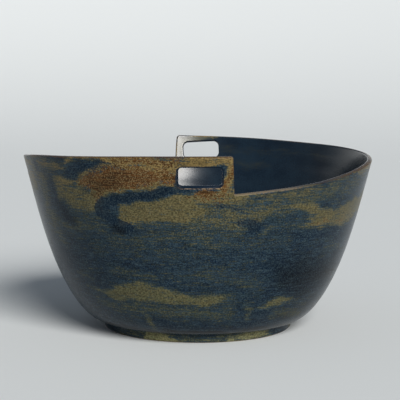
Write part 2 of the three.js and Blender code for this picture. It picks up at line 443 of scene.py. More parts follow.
def ridges(azimuth, along, seed):
    """Throwing marks and the hand's slow waver, as a depth in mm."""
    a = azimuth
    slow = 0.5 + 0.5 * np.sin(along * 0.62 + 0.9 * np.sin(a + seed) + 0.5 * np.sin(2 * a + seed * 2))
    fine = 0.5 + 0.5 * np.sin(along * 1.83 + 1.3 * np.sin(a * 1 + 2.1 * seed) + 0.4 * np.sin(3 * a))
    drift = 0.5 + 0.5 * np.sin(2 * a + along * 0.045 + seed) * np.cos(a - along * 0.03)
    depth = 0.045 * slow + 0.022 * fine + 0.05 * drift
    if seed == INSIDE_SEED:    # one ring on the inside of the far wall stands a little proud
        depth = depth - RING_PROUD * np.exp(-((along + 2.0) / 5.0) ** 2) * (0.5 - 0.5 * np.cos(a - 0.05)) ** 6
    return depth


def place_upper(side):
    """Points of the sheet's outside (side 0) or inside (side 1)."""
    depth = thick / 2 * (1 + (2 * side - 1) * share)           # from the outside face
    calm = smoothstep(d, 0.0, 4.0)
    worn = ridges(theta, v[:, 1], 1.0 + side) * calm
    depth = depth + INSET + (worn if side == 0 else -worn) * (share > 0.5)
    p = outer + inward * depth[:, None]
    a = theta.copy()
    # the slots' sides are parallel, so they open out a little towards the inside
    for s, line in zip(SLOTS, slot_lines):
        near = distance_to(v, [line])
        away = theta - s["azimuth"] * DEG
        a += away * depth / p[:, 0] * (1 - smoothstep(near, 1.5, 8.0))
    return a, p[:, 0], p[:, 1]


on_edge = d < 1e-7
to_slot = distance_to(v, slot_lines)
index_outer = np.full(len(v), -1)
index_inner = np.full(len(v), -1)
used = np.zeros(len(v), bool)
used[swap[f].ravel()] = True
a0, r0, z0 = place_upper(0)
a1, r1, z1 = place_upper(1)
single = used & on_edge
first = surface.add(a0[single], r0[single], z0[single], 0.5, 0.0, v[single, 1], to_slot[single])
index_outer[single] = index_inner[single] = first + np.arange(single.sum())
double = used & ~on_edge
first = surface.add(a0[double], r0[double], z0[double], 0.5 - 0.5 * share[double], d[double],
                    v[double, 1], to_slot[double])
index_outer[double] = first + np.arange(double.sum())
first = surface.add(a1[double], r1[double], z1[double], 0.5 + 0.5 * share[double], d[double],
                    v[double, 1], to_slot[double])
index_inner[double] = first + np.arange(double.sum())

wf = swap[f]
middle_x = real_x[f].mean(1)


quarter = 90 * DEG * ACROSS
front = (middle_x >= -quarter) & (middle_x < quarter)
for half, centre in ((front, 0.0), (~front, 2 * quarter)):
    tri = f[half]
    surface.face(index_outer[wf[half]], ("out", centre), real_x[tri] - centre, v[tri][:, :, 1] + 200)
    surface.face(index_inner[wf[half]][:, ::-1], ("in", centre), real_x[tri][:, ::-1] - centre,
                 v[tri][:, ::-1, 1] + 200)

# the columns of the regular part, and the sheet's bottom row that they join
azimuths = (SEAM + 360 * np.arange(COLUMNS) / COLUMNS) * DEG
bottom = np.nonzero(np.abs(v[:, 1]) < 1e-6)[0]
bottom = bottom[np.argsort(v[bottom, 0])][:COLUMNS]
joined = np.array([index_outer[bottom], index_inner[bottom]])


def band(rows_r, rows_z, inner, edge, start, island, up, flip, deform=0.0, seed=1.0, last=None):
    """Rows of points round the axis, from the row whose indices are start. Returns the last row."""
    previous, previous_up = start, up[0]
    x = np.arange(COLUMNS + 1) / COLUMNS * 2 * math.pi * ACROSS + SEAM * DEG * ACROSS
    for k in range(1, len(rows_r)):
        if last is not None and k == len(rows_r) - 1:
            row = last
        else:
            wear = ridges(azimuths, up[k], seed) * (deform if np.isscalar(deform) else deform[k])
            first = surface.add(azimuths, rows_r[k] + wear * rows_out[k][0], rows_z[k] + wear * rows_out[k][1],
                                inner[k], edge, up[k])
            row = first + np.arange(COLUMNS)
        if previous is not None:
            j = np.arange(COLUMNS)
            n = (j + 1) % COLUMNS
            tri = np.concatenate([np.stack([previous[j], previous[n], row[n]], 1),
                                  np.stack([previous[j], row[n], row[j]], 1)])
            xs = np.concatenate([np.stack([x[j], x[j + 1], x[j + 1]], 1), np.stack([x[j], x[j + 1], x[j]], 1)])
            ups = np.concatenate([np.tile([previous_up, previous_up, up[k]], (COLUMNS, 1)),
                                  np.tile([previous_up, up[k], up[k]], (COLUMNS, 1))])
            if flip:
                tri, xs, ups = tri[:, ::-1], xs[:, ::-1], ups[:, ::-1]
            mid = xs.mean(1)
            front = (mid >= -quarter) & (mid < quarter)
            for half, centre in ((front, 0.0), (~front, 2 * quarter)):
                surface.face(tri[half], (island, centre), xs[half] - centre, ups[half] + 200)
        previous, previous_up = row, up[k]
    return previous


# outside of the wall, from the split down to the foot
rows = 58
s_foot = float(length_at(0.0))
s_rows = np.linspace(0, s_foot, rows + 1)
t_rows = t_at_length(s_rows)
normal = wall_inward(t_rows)
p = wall_point(t_rows) + normal * INSET
rows_out = normal
calm = smoothstep(np.arange(rows + 1), -1, 1) * smoothstep(rows - np.arange(rows + 1), 0, 6)
row = band(p[:, 0], p[:, 1], np.zeros(rows + 1), 99.0, joined[0], "out", s_rows, True, calm, 1.0)

# the foot ring and the hollow under the floor, as one profile down from the wall
ring_inner = FOOT_OUTER - FOOT_WIDTH - 2 * FOOT_BEVEL


def rounded(points, sizes, n=5):
    """A polyline with each inner corner rounded by its own size."""
    points = [np.array(q, float) for q in points]
    out = [points[0]]
    for i in range(1, len(points) - 1):
        a, b, c = points[i - 1], points[i], points[i + 1]
        size = min(sizes[i], 0.48 * np.linalg.norm(a - b), 0.48 * np.linalg.norm(c - b))
        if size <= 0:
            out.append(b)
            continue
        start = b + (a - b) / np.linalg.norm(a - b) * size
        end = b + (c - b) / np.linalg.norm(c - b) * size
        for u in np.linspace(0, 1, n):
            out.append((1 - u) ** 2 * start + 2 * u * (1 - u) * b + u * u * end)
    out.append(points[-1])
    return np.array(out)


foot = rounded(
    [(WALL[0][0], WALL[0][1] + INSET), (FOOT_OUTER + FOOT_DRAFT - 0.15, WALL[0][1] - 0.75),
     (FOOT_OUTER - 0.05, FOOT_BEVEL), (FOOT_OUTER - FOOT_BEVEL, 0.02),
     (ring_inner + FOOT_BEVEL, 0.02), (ring_inner, FOOT_BEVEL),
     (ring_inner - FOOT_DRAFT, RECESS_HEIGHT), (ring_inner * 0.5, RECESS_HEIGHT + 0.15), (1.0, RECESS_HEIGHT)],
    [0, 0.7, 0.45, 0.35, 0.35, 0.45, 2.0, 6.0, 0])
extra = []
for a, b in zip(foot[:-1], foot[1:]):     # long stretches get rows of their own
    n = max(1, int(np.linalg.norm(b - a) / 4.5))
    extra.extend(a + (b - a) * u for u in np.arange(n) / n)
foot = np.array(extra + [foot[-1]])
along = np.concatenate([[0], np.cumsum(np.linalg.norm(np.diff(foot, axis=0), axis=1))])


def ring_rows(profile, start, island, inner, flip, edge, seed, deform, along):
    """Rows of a flat disc's profile from its outside to the axis, with a round map."""
    previous = start
    az = azimuths
    j = np.arange(COLUMNS)
    n = (j + 1) % COLUMNS
    for k in range(1, len(profile)):
        r, z = profile[k]
        along -= math.hypot(r - profile[k - 1][0], z - profile[k - 1][1])
        wear = ridges(az, r * 1.0, seed) * deform * smoothstep(k, 1, 8)
        first = surface.add(az, r, z + wear, inner, edge, along)
        row = first + np.arange(COLUMNS)
        tri = np.concatenate([np.stack([previous[j], previous[n], row[n]], 1),
                              np.stack([previous[j], row[n], row[j]], 1)])
        if flip:
            tri = tri[:, ::-1]
        surface.face(tri, (island, None), None_map(tri), None_map(tri))
        previous = row
    r, z = profile[-1]
    centre = surface.add([0.0], [0.0], [z], inner, edge, along - r)
    tri = np.stack([previous[j], previous[n], np.full(COLUMNS, centre)], 1)
    if flip:
        tri = tri[:, ::-1]
    surface.face(tri, (island, None), None_map(tri), None_map(tri))


def None_map(tri):
    return np.zeros(tri.shape)


# outer side of the foot belongs to the wall's band; the rest is the underside's disc
outer_rows = int(np.argmin(np.abs(foot[:, 1] - 0.4) + (foot[:, 0] < FOOT_OUTER - 1) * 99))
rows_out = np.zeros((len(foot), 2))
row = band(foot[:outer_rows + 1, 0], foot[:outer_rows + 1, 1], np.zeros(outer_rows + 1), 99.0, row, "out",
           s_foot - along[:outer_rows + 1], True)
ring_rows(foot[outer_rows:], row, "under", -1.0, True, 99.0, 3.0, 0.6, s_foot - along[outer_rows])

# inside of the wall, then the floor
t_floor = float(np.interp(9.9, inner_point(TABLE_T[:1600])[:, 1][100:], TABLE_T[:1600][100:]))
rows = 42
s_rows = np.linspace(0, float(length_at(t_floor)), rows + 1)
t_rows = t_at_length(s_rows)
normal = wall_inward(t_rows)
p = inner_point(t_rows) + normal * INSET
rows_out = -normal
calm = smoothstep(np.arange(rows + 1), -1, 1) * smoothstep(rows - np.arange(rows + 1), 0, 6)
row = band(p[:, 0], p[:, 1], np.ones(rows + 1), 99.0, joined[1], "in", s_rows, False, calm, INSIDE_SEED)

# the curve leaves the wall in the wall's own direction and runs out level with the floor
edge_r, edge_z = p[-1]
near = inner_point(t_at_length(s_rows[-1] - np.array([0.2, 0.0])))
fall = (near[0, 1] - near[1, 1]) / (near[0, 0] - near[1, 0])
floor_edge = FLOOR_CENTRE + FLOOR_RISE * 0.55
end_r = edge_r - (edge_z - floor_edge) / fall - 4.3
slope = 2 * FLOOR_RISE * 0.55 / end_r
bend_r = (floor_edge - edge_z + fall * edge_r - slope * end_r) / (fall - slope)
bend = np.array([bend_r, floor_edge + slope * (bend_r - end_r)])
end = np.array([end_r, floor_edge])
u = np.linspace(0, 1, 12)[:, None]
curve = (1 - u) ** 2 * p[-1] + 2 * u * (1 - u) * bend + u * u * end
rest_r = np.linspace(end_r, 1.0, 20)[1:]
rest = np.stack([rest_r, FLOOR_CENTRE + FLOOR_RISE * 0.55 * (rest_r / end_r) ** 2], 1)
ring_rows(np.concatenate([curve, rest]), row, "floor", 1.0, False, 99.0, 5.0, 0.5, float(s_rows[-1]))

co = np.concatenate(surface.co) * MM
data = np.concatenate(surface.data)
faces = np.concatenate(surface.faces)
print("bowl: points", len(co), "triangles", len(faces))


# ---- where the glazes lie ----------------------------------------------------------------------
#
# Every stroke is (strength, softness, [(x, y, half width), ...]) on the flat sheet, in mm: x is the azimuth
# times 100 mm, 0 at the front, and y is the length along the wall from the 80 mm level, up to about 26 at the
# high rim and down to about -80 under the belly. The gold, rust and dark glazes lie over a navy one.

GOLD = {
    # front
    "rim band": (0.95, 2.0, [(-80, 22.6, 1.4), (-66, 24.6, 1.5), (-46, 24.0, 2.8), (-30, 22, 5), (-12, 21, 6), (0, 23.8, 4.4),
                             (17, 23.6, 4.6)]),
    "rim band left": (0.70, 3.5, [(-128, 17, 3), (-112, 18.5, 3.5), (-95, 19.0, 4), (-83, 19.5, 3.5)]),
    "beside slot": (0.95, 2.0, [(-34, 21, 3), (-22, 18.5, 3), (-15, 14, 3), (-14, 10, 2)]),
    "right of slot": (0.95, 1.5, [(15.5, 24, 3), (16.4, 15, 4.2), (17, 5, 4.6)]),
    "upper left": (0.58, 4.0, [(-122, 10, 8), (-110, 10, 9), (-104, 4, 7), (-104, -8, 6), (-102, -18, 5), (-98, -26, 3)]),
    "left field": (0.82, 3.5, [(-90, 11, 3), (-84, 8, 5.4), (-79, 3, 8), (-70, 1.5, 8.5), (-61, 2.5, 7.5), (-58, 8, 5)]),
    "left field foot": (0.56, 3.5, [(-82, -6, 3), (-70, -7.5, 3.5), (-60, -8.5, 2.5)]),
    "under patch": (0.84, 1.8, [(-86, 11.5, 2.2), (-74, 10.6, 2.8), (-64, 14, 2.2), (-54, 18.0, 2.0), (-46, 20.2, 2.0)]),
    "under rust": (0.97, 1.2, [(-62, 3, 4), (-52, 5.8, 1.6), (-42, 6.9, 1.6), (-32, 8.6, 1.8), (-22, 10.8, 1.6),
                               (-12, 11.6, 1.4)]),
    "lens": (1.0, 1.2, [(-48.5, -3.4, 0.8), (-45, -3.8, 3.2), (-39, -4.8, 5.2), (-28, -4.6, 6.4), (-16, -2.6, 7.2),
                        (-4, -1.8, 7.2)]),
    "lens below": (0.56, 2.6, [(-34, -11.4, 1.2), (-20, -11.6, 2.4), (-4, -12, 3.2), (12, -12.4, 3.6), (22, -12.4, 2.6)]),
    "lens right": (0.66, 2.8, [(-8, -3.4, 6.5), (6, -4.5, 8.0), (18, -5.5, 8.0), (30, -5.0, 6), (38, -4, 4)]),
    "under slot": (1.0, 1.8, [(-22, 1.6, 1.6), (-12, 3.4, 2.4), (-2, 4.6, 2.8), (8, 5.5, 3.2), (17, 5.4, 3.2), (27, 4.6, 2.2)]),
    "under step": (0.82, 2.4, [(20, 5, 1.6), (32, 4.4, 2.0), (44, 4.6, 1.8), (56, 6.4, 2.0), (70, 8.6, 2.2)]),
    "below step": (0.60, 3.0, [(22, 2, 3), (40, 2, 4), (58, 4.5, 4.0), (72, 8.5, 3.0), (88, 11.5, 2.8), (104, 14, 2.6)]),
    "right haze": (0.42, 4.0, [(66, 3, 4), (88, 4, 5), (112, 6, 6)]),
    "right band": (0.86, 1.6, [(61.5, -14.2, 0.8), (68, -13, 2.2), (76, -10.0, 5.2), (90, -9.0, 6.2), (104, -8.6, 6.2),
                               (118, -8, 6.4), (130, -6, 7)]),
    "band above": (0.84, 1.8, [(50, -2.0, 1.4), (59, -1.6, 2.6), (67, -2.4, 3.4), (76, -5.0, 2.6)]),
    "mid right haze": (0.58, 3.0, [(28, -2, 4), (42, -3, 5.5), (58, -1, 5.5), (72, 4, 5), (88, 8, 4)]),
    "green right": (0.44, 3.5, [(44, -12, 3), (60, -12, 3.5), (76, 3, 4), (96, 6, 5), (114, 8, 5)]),
    "band spot": (0.70, 1.4, [(37, -13.6, 1.0), (41.5, -13.6, 1.3)]),
    "middle": (0.50, 4.5, [(-112, -15, 5), (-90, -16, 5), (-72, -14, 5.5), (-58, -14, 4.5), (-50, -20, 3)]),
    "under blob": (0.48, 3.2, [(-50, -19.0, 3), (-36, -18.2, 4), (-12, -17.6, 4), (14, -18, 3.5)]),
    "green middle": (0.36, 4.0, [(-64, -26, 3), (-34, -27, 4), (0, -27, 4), (34, -20, 4), (58, -22, 3)]),
    "green low": (0.38, 4.0, [(-20, -38, 3), (6, -40, 5), (30, -44, 5), (44, -52, 3)]),
    "streak under lens": (0.56, 2.0, [(-10, -15.5, 2.0), (12, -17, 2.5), (24, -14, 2)]),
    "streak two": (0.62, 1.6, [(-6, -21.5, 1.8), (14, -22.5, 1.6)]),
    "falling line": (0.72, 1.0, [(-26, -24, 0.6), (-8, -25.2, 0.9), (8, -27.5, 0.6)]),
    "long line": (0.40, 1.2, [(-84, -23, 0.7), (-60, -24, 0.9), (-34, -23, 0.9)]),
    "faint line": (0.42, 1.2, [(6, -34, 0.9), (17, -34.4, 0.9)]),
    "left faint": (0.50, 1.6, [(-90, -42, 1.2), (-76, -44.5, 1.4)]),
    "lens hood": (0.48, 2.2, [(-60, -39, 1.4), (-44, -40.5, 2.4), (-24, -42, 2)]),
    "low lens": (0.95, 2.4, [(-86, -50.4, 0.7), (-70, -52.4, 1.6), (-57, -53.0, 4.2), (-45, -51.4, 6.4), (-32, -51.4, 6.6),
                             (-19, -53.6, 5.2), (-6, -54.4, 4.4), (4, -54.2, 3.8), (12, -54.4, 2.4), (19, -55.0, 0.8)]),
    "low lens right": (0.56, 3.0, [(-14, -50.6, 1.6), (0, -52, 2.4), (16, -54.4, 2.6), (26, -57, 1.4)]),
    "low haze": (0.60, 5.0, [(-80, -60, 4), (-44, -62, 5), (-10, -64, 5), (24, -63, 5)]),
    "low patch": (0.70, 2.2, [(-41, -66, 2.2), (-38, -72, 2.6), (-40, -76, 2)]),
    "low right lens": (0.94, 1.6, [(44, -62.2, 1.0), (52, -60.8, 2.4), (60, -58.8, 3.2), (66, -57.4, 2.6), (71, -57.0, 1.2)]),
    "low right tail": (0.44, 2.4, [(68, -58.4, 2), (80, -60, 2), (94, -62, 1.4)]),
    "low mid patch": (0.62, 2.0, [(37.4, -62, 2.0), (38, -66, 2.4), (38.6, -70, 2.0)]),
    "low right haze": (0.66, 3.0, [(58, -68, 2.5), (76, -68, 3.5), (96, -69, 3.5)]),
    "right faint": (0.48, 2.0, [(88, -27.5, 1.5), (104, -28.5, 2.2), (124, -29.5, 1.5)]),
    "right of belly": (0.42, 3.0, [(96, -44, 2), (118, -46, 3)]),
    # right side
    "side rim": (0.75, 3.5, [(112, 15, 4), (135, 17, 4), (160, 18, 4.5), (185, 19.5, 4)]),
    "side lens": (0.95, 2.4, [(128, -5, 7), (146, -6, 6), (162, -9, 3.5), (172, -10, 1.5)]),
    "side lens two": (0.92, 2.2, [(168, 4, 2), (182, 3, 5), (204, 1, 6.5), (226, 2, 5), (246, 4, 2.4)]),
    "side band": (0.55, 3.0, [(140, -23, 1.8), (168, -24, 2.6), (196, -22, 1.6)]),
    "side low lens": (0.92, 2.4, [(132, -52, 1.5), (150, -53, 4.2), (172, -51, 5.2), (192, -53.5, 3.6), (212, -56, 1.4)]),
    "side low haze": (0.50, 4.0, [(120, -66, 3), (156, -67, 4.5), (190, -64, 4)]),
    # back
    "back rim": (0.90, 2.5, [(190, 20.5, 3.5), (214, 22, 3.5), (240, 23.5, 3), (268, 24, 3), (296, 24.5, 3.2),
                             (330, 25, 3)]),
    "back bar": (0.95, 1.6, [(329, 24, 3), (329.5, 15, 3.2), (329, 6, 4)]),
    "back field": (0.90, 3.0, [(226, 14, 3), (240, 11, 6), (256, 8, 8), (272, 9, 6.5), (288, 12, 4)]),
    "back lens": (1.0, 2.2, [(262, -7, 1.8), (276, -8, 4.4), (296, -7, 6.2), (318, -5.5, 6.6), (340, -6, 4.6),
                             (356, -7, 2)]),
    "back under slot": (0.88, 2.0, [(292, 5, 1.8), (306, 4.6, 2.6), (324, 4, 3), (344, 3, 3.4), (366, 4, 4)]),
    "back low rim": (0.72, 3.4, [(336, 3, 3.4), (362, 6, 4), (392, 9, 4.4), (424, 12, 5)]),
    "back streak": (0.60, 1.8, [(236, -17, 1.2), (262, -18.5, 2), (290, -18, 1.2)]),
    "back streak two": (0.52, 1.4, [(300, -24, 1), (322, -25, 1.6), (350, -24, 1)]),
    "back low lens": (0.95, 2.4, [(230, -56, 1.4), (250, -54, 4.4), (272, -52.4, 5.6), (290, -54, 4.2), (314, -57, 1.6)]),
    "back low lens two": (0.86, 2.0, [(330, -48, 1.6), (346, -49, 3.8), (364, -50.6, 3.2), (380, -53, 1.4)]),
    "back haze": (0.46, 4.5, [(232, -66, 3), (276, -66, 5), (330, -65, 4), (372, -66, 4)]),
    # left side
    "left lens": (0.95, 2.4, [(372, -6, 2), (388, -6, 5.6), (412, -4, 7), (434, -5, 5), (450, -8, 2)]),
    "left lens two": (0.86, 2.8, [(440, 6, 3), (462, 7, 6), (488, 8, 7), (508, 8, 6)]),
    "left rim": (0.78, 3.0, [(420, 13, 4), (452, 15, 4), (486, 16.5, 4), (512, 18, 3.5)]),
    "left band": (0.50, 3.0, [(404, -22, 1.8), (436, -23, 2.6), (470, -21, 1.8)]),
    "left low lens": (0.90, 2.4, [(404, -54, 1.6), (424, -52, 4.6), (446, -51, 4.8), (468, -53, 2.4), (482, -55, 1.2)]),
    "left low haze": (0.48, 4.5, [(392, -66, 3), (440, -66, 4.5), (500, -66, 4.5)]),
    # foot
    "foot far left": (0.50, 3.0, [(-92, -92.6, 4), (-60, -92.6, 4)]),
    "foot left": (1.0, 2.4, [(-52, -92.4, 4), (-40, -91.5, 6), (-27, -92.6, 5)]),
    "foot front": (0.58, 3.0, [(-24, -92.6, 4), (0, -93, 3.4), (28, -92.6, 4)]),
    "foot right": (0.84, 2.6, [(33, -92.6, 4), (52, -92, 5), (80, -92.6, 4.5)]),
    "foot side": (0.70, 3.0, [(132, -93, 4), (166, -93, 5)]),
    "foot back": (0.75, 3.0, [(250, -93, 4), (300, -92, 5), (330, -93, 3)]),
    "foot far side": (0.70, 3.0, [(410, -93, 4), (456, -93, 5)]),
}

RUST = {
    "lens": (1.0, 1.8, [(-65.5, 13.0, 0.5), (-61.5, 12.0, 1.9), (-57, 11.0, 3.7), (-51.5, 11.6, 5.0), (-45, 12.8, 5.9),
                        (-38, 13.6, 6.0), (-31.5, 14.6, 4.9), (-26, 14.6, 3.6), (-19, 14.8, 3.0), (-13, 15.2, 3.0)]),
    "lens top": (0.66, 2.0, [(-46, 18, 1.6), (-36, 19.6, 1.8), (-27, 19.6, 1.4)]),
    "lens end": (0.66, 1.6, [(-25, 12.6, 1.6), (-17, 12.6, 1.6), (-13.5, 14, 1.6)]),
    "beside slot": (0.84, 1.4, [(-21, 20, 1.4), (-16.6, 18.2, 2.1), (-15.0, 14.5, 1.6)]),
    "rim smudge": (0.76, 1.6, [(-40, 23.6, 1.0), (-30, 23.4, 1.8), (-20, 23.8, 1.5), (-8, 24.9, 0.7)]),
    "slot right": (0.92, 1.4, [(16.8, 22.5, 0.8), (16.8, 16, 1.9), (16.4, 10.5, 1.9)]),
    "under slot": (0.90, 1.3, [(-1.5, 8.0, 0.9), (4, 8.2, 1.7), (10, 8.0, 1.5), (14, 7.4, 0.8)]),
    "corner": (0.45, 1.5, [(12, 25.2, 1.0), (17, 25, 1.2)]),
    "under slot haze": (0.42, 2.5, [(-4, 5, 1.5), (10, 4.8, 2)]),
    "tongue's left": (0.74, 1.0, [(-60, 3.6, 1.0), (-57.5, 4.6, 1.2), (-54, 6.0, 0.8)]),
    "low rim spot": (0.66, 1.0, [(29, 6.7, 0.7), (34, 7.0, 1.0), (39, 7.4, 0.6)]),
    "right rim spot": (0.60, 1.2, [(98, 14.6, 0.9), (106, 15.8, 1.3), (113, 17, 1.0)]),
    "band fleck": (0.40, 1.4, [(72, -12.6, 0.8), (86, -11.4, 1.2), (100, -11, 0.8)]),
    "back lens": (1.0, 2.4, [(243, 13, 1.0), (252, 12.4, 3.4), (262, 14.4, 4.4), (272, 16.4, 3.6), (284, 17.6, 1.6)]),
    "back lens end": (0.62, 1.8, [(282, 16, 1.4), (294, 15, 1.8)]),
    "back under slot": (0.72, 1.4, [(302, 8.4, 0.9), (314, 8.6, 1.5), (324, 9, 1.0)]),
    "back bar": (0.60, 1.4, [(329, 21, 1.2), (329.5, 13, 1.4)]),
    "side rim spot": (0.55, 1.6, [(150, 19.4, 1.0), (166, 20.6, 1.6), (184, 22, 1.0)]),
    "left rim spot": (0.55, 1.6, [(432, 14.4, 1.0), (446, 15.6, 1.5), (462, 16.4, 1.0)]),
    "left lens": (0.72, 2.0, [(470, 9, 1.0), (482, 9.6, 2.6), (494, 11.4, 1.6)]),
}

DARK = {
    "tongue": (1.0, 0.8, [(-1, 7.6, 0.3), (-7, 7.9, 0.8), (-13, 8.0, 1.5), (-19, 7.3, 2.0), (-25, 5.8, 1.8),
                          (-31, 4.5, 1.6), (-38, 3.7, 1.7), (-44, 2.9, 2.2), (-50, 1.3, 3.3), (-54.6, -1.6, 4.8),
                          (-53.6, -5.2, 4.6), (-50.0, -8.8, 3.4), (-46.4, -12.0, 4.0), (-43.0, -13.2, 3.8)]),
    "blob": (1.0, 1.6, [(-46, -12.4, 3.2), (-41.5, -13.2, 3.4)]),
    "tongue's tail": (0.60, 0.9, [(-40, -14.5, 1.2), (-28, -13.6, 0.8), (-10, -13.2, 0.6), (8, -13.0, 0.4)]),
    "rim patch": (0.58, 1.9, [(-79, 14.8, 1.1), (-74, 15.8, 1.9), (-69, 18.0, 2.6), (-63, 20.2, 2.7), (-56, 21.2, 2.3),
                              (-49, 22.0, 1.4), (-44, 22.5, 0.5)]),
    "drip": (0.64, 3.0, [(-99, 13, 1.8), (-96, 7, 2.4), (-93, 1, 2.2), (-89, -5, 2.6), (-84, -9.8, 4.0),
                         (-78, -13, 2.6)]),
    "drip head": (0.40, 2.0, [(-100, 12.5, 1.6), (-91, 13.6, 1.5), (-84, 13.2, 0.8)]),
    "far spot": (0.75, 1.8, [(-110, 18.5, 3.0), (-107, 15, 2.0)]),
    "patch one": (0.66, 2.2, [(9, -0.8, 1.0), (18, -1.0, 1.8), (26, -2.4, 1.2)]),
    "patch two": (0.76, 2.8, [(24, -10.2, 1.8), (29, -9.8, 3.2), (31.5, -10.2, 3.6), (32, -12.6, 3.2), (29.8, -13.4, 2.6)]),
    "patch three": (0.30, 2.8, [(44, -10.2, 1.2), (54, -11.2, 2.2), (64, -10.0, 1.6)]),
    "patch four": (0.52, 2.4, [(76, 2.2, 0.8), (85, 1.0, 2.2), (92, 1.4, 1.2)]),
    "patch five": (0.38, 2.4, [(40, -1, 1.6), (50, 1.2, 1.8), (56, 1.6, 1.0)]),
    "scratch": (0.80, 0.4, [(11, 4.2, 0.3), (24, 4.2, 0.4), (37, 4.3, 0.3)]),
    "under band": (0.60, 3.0, [(58, -19, 2.0), (80, -18.5, 2.6), (104, -18, 2.6), (122, -18, 2.0)]),
    "right shade": (0.60, 9.0, [(44, -36, 5), (62, -40, 9), (86, -44, 10), (112, -42, 10)]),
    "upper right shade": (0.45, 4.0, [(100, 8, 2), (112, 8, 3.5), (124, 8, 4)]),
    "left shade": (0.70, 6.0, [(-112, -36, 8), (-98, -36, 9), (-84, -34, 4)]),
    "middle line": (0.62, 1.6, [(-26, -21.4, 0.7), (-14, -22.8, 1.1), (0, -24.2, 1.4), (14, -25.0, 1.2), (26, -25.4, 0.7)]),
    "upper line": (0.60, 1.2, [(-12, -12.4, 0.5), (4, -13.2, 0.8), (20, -13.8, 0.6)]),
    "low patch": (0.80, 2.0, [(-32, -69.5, 2.2), (-26, -71.5, 3.2), (-20, -73.5, 2.6)]),
    "low right patch": (0.74, 1.8, [(43, -66, 1.8), (50, -65.4, 2.4), (57, -66, 1.6)]),
    "low right patch two": (0.78, 2.0, [(36, -73, 2.4), (44, -73.5, 2.6), (50, -73.4, 1.8)]),
    "left blob": (0.55, 2.2, [(-76, -49, 1.4), (-64, -48.5, 1.8)]),
    "side drip": (0.85, 1.8, [(158, 16, 2.0), (160, 8, 2.2), (163, 0, 2.2), (166, -5, 3.0)]),
    "side patch": (0.85, 2.0, [(196, 12, 1.4), (206, 13, 2.8), (218, 14.6, 2.2), (228, 16, 1.0)]),
    "side shade": (0.70, 7.0, [(130, -38, 8), (170, -38, 9), (212, -38, 8)]),
    "back tongue": (1.0, 1.2, [(300, 6.0, 0.7), (290, 5.4, 1.8), (278, 3.4, 2.6), (266, 0.8, 2.4), (256, -1.0, 3.0),
                               (251, -5.4, 3.6), (254, -10, 3.0), (262, -13.6, 3.2), (280, -15, 1.4), (300, -15.4, 0.8)]),
    "back patch": (0.90, 2.0, [(252, 19.4, 1.2), (262, 20.6, 2.2), (274, 22, 1.4)]),
    "back over slot": (0.70, 1.4, [(300, 25.0, 0.8), (312, 25.2, 1.2), (322, 25.2, 0.7)]),
    "back patch two": (0.80, 2.2, [(346, 0, 1.8), (356, -1, 3.0), (368, -1.6, 1.8)]),
    "back patch three": (0.72, 2.2, [(322, -12, 1.4), (334, -12.6, 2.4), (346, -12.4, 1.2)]),
    "back shade": (0.60, 7.0, [(250, -38, 8), (300, -36, 9), (350, -38, 8)]),
    "left drip": (0.85, 1.8, [(424, 10, 1.8), (428, 3, 2.4), (432, -4, 2.2), (438, -9, 3.4), (446, -12.5, 2.4)]),
    "left patch": (0.82, 2.0, [(452, 1.4, 1.4), (464, 0.6, 2.6), (478, 0.8, 1.6)]),
    "left low patch": (0.74, 2.0, [(400, -70, 2), (412, -71.4, 3), (424, -73, 2)]),
    "side low patch": (0.74, 2.0, [(180, -70, 2), (192, -71.4, 3), (204, -73, 2)]),
    "back low patch": (0.74, 2.0, [(286, -70, 2), (298, -71.4, 3), (310, -73, 2)]),
}

# painted shade: dark marks along the front slot's left edge and at its corners, tied to the slot so they keep their
# place beside it
SHADE_BY_SLOT = {
    "left": (0.92, 0.9, [(-10.9, 20.6, 0.3), (-11.0, 17, 0.5), (-11.2, 12.5, 0.9), (-11.3, 10.2, 1.1), (-10.0, 8.9, 0.7)]),
    "corner": (1.0, 0.7, [(12.2, 21.3, 0.4), (13.3, 20.2, 1.0), (13.5, 17.4, 0.8)]),
    "low corner": (0.7, 0.8, [(16.0, 7.4, 0.9), (17.4, 8.6, 0.9)]),
}

# a plain shade over the front slot: broken up, so narrow a band would look like lettering
OVER_SLOT = {"over": (0.52, 2.2, [(-15, 22.5, 0.4), (-9, 22.9, 1.2), (-1, 23.0, 1.2), (6, 23.2, 0.4)])}

# darker where the glaze is thickest, and painted shade: a shadow line all round under the belly, a darker band round
# the lower wall, the lower right
DEEP_AND_SHADE = {
    "rust": (0.60, 3.0, [(-60, 9.6, 1.4), (-56, 9.6, 3.2), (-50, 10.8, 3.4), (-44, 12.2, 2.4)]),
    "blob": (1.0, 2.0, [(-46.4, -12.0, 2.6), (-42.6, -13.2, 3.0)]),
    "tongue": (0.45, 2.0, [(-46, 3.6, 1.4), (-36, 4.0, 1.4), (-27, 5.6, 1.6), (-20, 6.8, 1.6)]),
    "drip": (0.55, 3.0, [(-90, -4, 2.0), (-84, -9.4, 3.0), (-79, -12, 2.0)]),
    # painted shade on the lower right wall
    "right": (0.88, 9.0, [(50, -36, 3), (64, -41, 9), (82, -46, 10), (108, -44, 8)]),
    "patch two": (0.32, 3.2, [(26, -9.0, 2.4), (33, -10.0, 2.8)]),
    # painted shadow: a dark line all round the gap under the belly, where it meets the foot
    "under belly": (1.0, 1.0, [(-157, -81.4, 1.9), (0, -81.4, 1.9), (157, -81.4, 1.9), (314, -81.4, 1.9), (471, -81.4, 1.9)]),
    # painted shade: darkens the lower right wall where the key light falls bright
    "low right": (0.6, 6.0, [(66, -70, 4), (84, -68, 7), (100, -66, 8)]),
    "back blob": (1.0, 2.0, [(256, -12, 2.4), (260, -13.4, 2.6)]),
    "back rust": (0.70, 3.0, [(248, 11.6, 2.0), (256, 12, 3.0)]),
    # painted shade: the darker band carried on round the lower wall
    "back": (0.70, 9.0, [(300, -42, 5), (330, -42, 9), (360, -42, 6)]),
    "side": (0.70, 9.0, [(180, -38, 5), (204, -40, 9), (228, -40, 6)]),
    "left": (0.70, 9.0, [(424, -38, 5), (448, -40, 9), (470, -40, 6)]),
}

